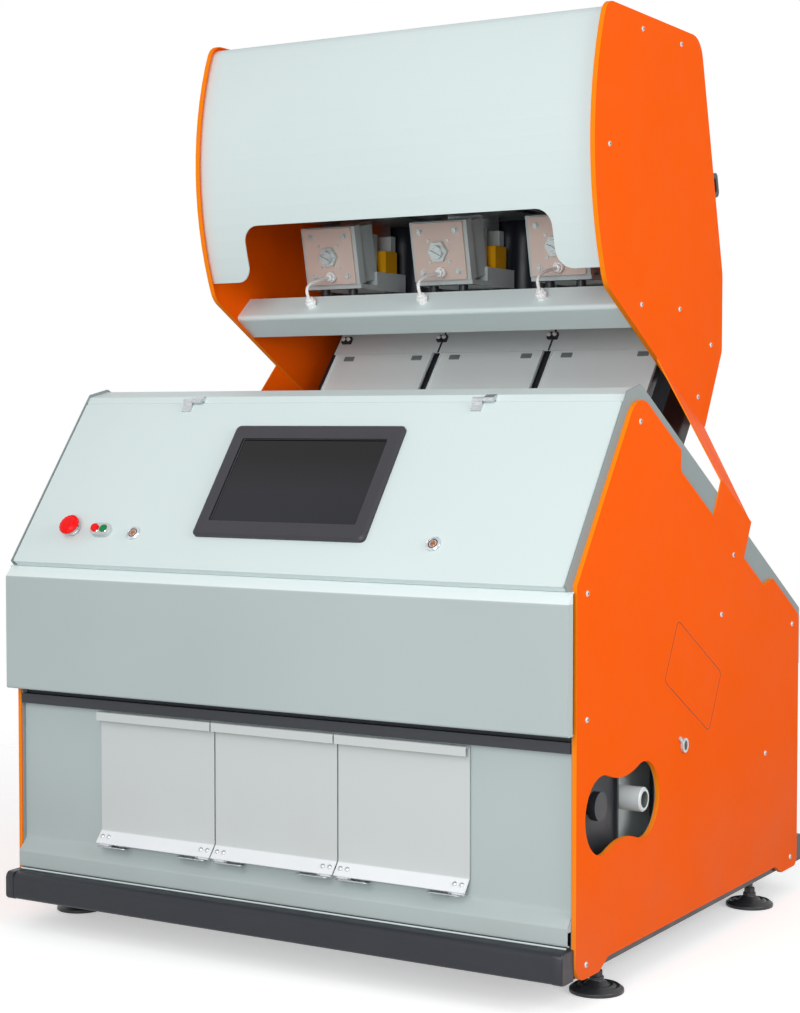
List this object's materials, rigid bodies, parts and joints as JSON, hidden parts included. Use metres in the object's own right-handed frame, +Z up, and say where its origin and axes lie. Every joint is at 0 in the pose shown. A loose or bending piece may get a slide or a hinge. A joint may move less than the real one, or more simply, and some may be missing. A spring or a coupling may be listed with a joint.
{
  "type": "optical colour sorter",
  "caption": "Floor-standing optical sorter: orange-sided cabinet with a sloping touch-screen console, chutes and vibrating feeders under an arched hood.",
  "frame": {"origin": "floor level, midway between the feet, bumpers and sides", "axes": "+X to the machine's right side as seen by the operator, -Y to the operator, +Z up"},
  "size_m": [1.54, 1.415, 2.181],
  "materials": {
    "black_paint": "semi matt powder coat",
    "foot_black": "satin",
    "bumper_black": "matt",
    "grey_paint": "satin powder coat",
    "orange_paint": "satin powder coat",
    "pale_paint": "satin powder coat",
    "steel": "satin",
    "bare_steel": "brushed",
    "bezel": "fine texture",
    "screen": "gloss",
    "housing": "satin",
    "red_plastic": "gloss",
    "green_plastic": "gloss",
    "lock_metal": "polished",
    "black_plastic": "satin",
    "drive_grey": "satin",
    "plate_beige": "satin",
    "coil_amber": "satin",
    "white_plastic": "satin",
    "aluminium": "milled",
    "pipe_grey": "satin"
  },
  "bodies": {
    "cabinet": {"base_frame": "black_paint", "shadow_channel": "black_paint", "feeder_rails": "black_paint", "chute_frame": "black_paint", "optics_boxes": "black_paint", "pipe_bracket": "black_paint", "bumpers": "bumper_black", "left_side_wall": "grey_paint", "right_side_wall": "grey_paint", "front_panel": "grey_paint", "lower_front": "grey_paint", "rear_panel": "grey_paint", "rear_slope": "grey_paint", "left_side_cover": "orange_paint", "right_side_cover": "orange_paint", "side_hatch": "orange_paint", "hood_right_panel": "orange_paint", "hood_left_panel": "orange_paint", "top_strip": "pale_paint", "hood_front_cover": "pale_paint", "hood_top": "pale_paint", "hood_rear_cover": "pale_paint", "feeder_beam": "pale_paint", "chute_covers": "pale_paint", "hinge_bases": "steel", "feeder_fasteners": "steel", "panel_screws": "steel", "feed_hopper": "bare_steel", "chutes": "bare_steel", "outlet_sheets": "bare_steel", "rear_handle": "black_plastic", "chute_clips": "black_plastic", "feeder_drives": "drive_grey", "feeder_plates": "plate_beige", "magnet_blocks": "coil_amber", "cable_glands": "white_plastic", "feeder_cables": "white_plastic", "ejector_bar": "aluminium", "air_pipe": "pipe_grey"},
    "console": {"console_panel": "pale_paint", "console_hinge_leaves": "steel", "screen_bezel": "bezel", "screen_glass": "screen", "button_housings": "housing"},
    "estop": {"estop_head": "red_plastic"},
    "stop": {"stop_button": "red_plastic"},
    "start": {"start_button": "green_plastic"},
    "left_lock": {"lock_left": "lock_metal"},
    "right_lock": {"lock_right": "lock_metal"},
    "door_1": {"sample_door_1": "grey_paint"},
    "door_2": {"sample_door_2": "grey_paint"},
    "door_3": {"sample_door_3": "grey_paint"},
    "latch": {"side_latch": "steel"},
    "tray_1": {"feeder_tray_1": "bare_steel"},
    "tray_2": {"feeder_tray_2": "bare_steel"},
    "tray_3": {"feeder_tray_3": "bare_steel"},
    "foot_fl": {"foot_front_left": "foot_black"},
    "foot_fr": {"foot_front_right": "foot_black"},
    "foot_rl": {"foot_rear_left": "foot_black"},
    "foot_rr": {"foot_rear_right": "foot_black"}
  },
  "joints": [
    {"name": "console_lift", "type": "hinge", "parent": "cabinet", "child": "console", "pos_m": [0, -0.41097, 1.26557], "axis": [-1, 0, 0], "range_deg": [0, 75]},
    {"name": "estop_press", "type": "slide", "parent": "console", "child": "estop", "axis": [0, 0.8039, -0.5948], "range_m": [0, 0.005], "stiffness_N_per_m": 1500, "springref_m": -0.001},
    {"name": "stop_press", "type": "slide", "parent": "console", "child": "stop", "axis": [0, 0.8039, -0.5948], "range_m": [0, 0.003], "stiffness_N_per_m": 800, "springref_m": -0.001},
    {"name": "start_press", "type": "slide", "parent": "console", "child": "start", "axis": [0, 0.8039, -0.5948], "range_m": [0, 0.003], "stiffness_N_per_m": 800, "springref_m": -0.001},
    {"name": "left_lock_turn", "type": "hinge", "parent": "console", "child": "left_lock", "pos_m": [-0.41, -0.63167, 0.95554], "axis": [0, -0.8039, 0.5948], "range_deg": [0, 90]},
    {"name": "right_lock_turn", "type": "hinge", "parent": "console", "child": "right_lock", "pos_m": [0.4, -0.63167, 0.95554], "axis": [0, -0.8039, 0.5948], "range_deg": [0, 90]},
    {"name": "door_1_open", "type": "hinge", "parent": "cabinet", "child": "door_1", "pos_m": [-0.333, -0.66, 0.221], "axis": [1, 0, 0], "range_deg": [0, 70]},
    {"name": "door_2_open", "type": "hinge", "parent": "cabinet", "child": "door_2", "pos_m": [0, -0.66, 0.221], "axis": [1, 0, 0], "range_deg": [0, 70]},
    {"name": "door_3_open", "type": "hinge", "parent": "cabinet", "child": "door_3", "pos_m": [0.333, -0.66, 0.221], "axis": [1, 0, 0], "range_deg": [0, 70]},
    {"name": "latch_turn", "type": "hinge", "parent": "cabinet", "child": "latch", "pos_m": [0.75, -0.101, 0.481], "axis": [1, 0, 0], "range_deg": [0, 90]},
    {"name": "tray_1_shake", "type": "slide", "parent": "cabinet", "child": "tray_1", "axis": [0, 1, 0], "range_m": [-0.001, 0.001], "stiffness_N_per_m": 40000},
    {"name": "tray_2_shake", "type": "slide", "parent": "cabinet", "child": "tray_2", "axis": [0, 1, 0], "range_m": [-0.001, 0.001], "stiffness_N_per_m": 40000},
    {"name": "tray_3_shake", "type": "slide", "parent": "cabinet", "child": "tray_3", "axis": [0, 1, 0], "range_m": [-0.001, 0.001], "stiffness_N_per_m": 40000},
    {"name": "foot_fl_level", "type": "slide", "parent": "cabinet", "child": "foot_fl", "axis": [0, 0, 1], "range_m": [-0.02, 0.006]},
    {"name": "foot_fr_level", "type": "slide", "parent": "cabinet", "child": "foot_fr", "axis": [0, 0, 1], "range_m": [-0.02, 0.006]},
    {"name": "foot_rl_level", "type": "slide", "parent": "cabinet", "child": "foot_rl", "axis": [0, 0, 1], "range_m": [-0.02, 0.006]},
    {"name": "foot_rr_level", "type": "slide", "parent": "cabinet", "child": "foot_rr", "axis": [0, 0, 1], "range_m": [-0.02, 0.006]}
  ]
}
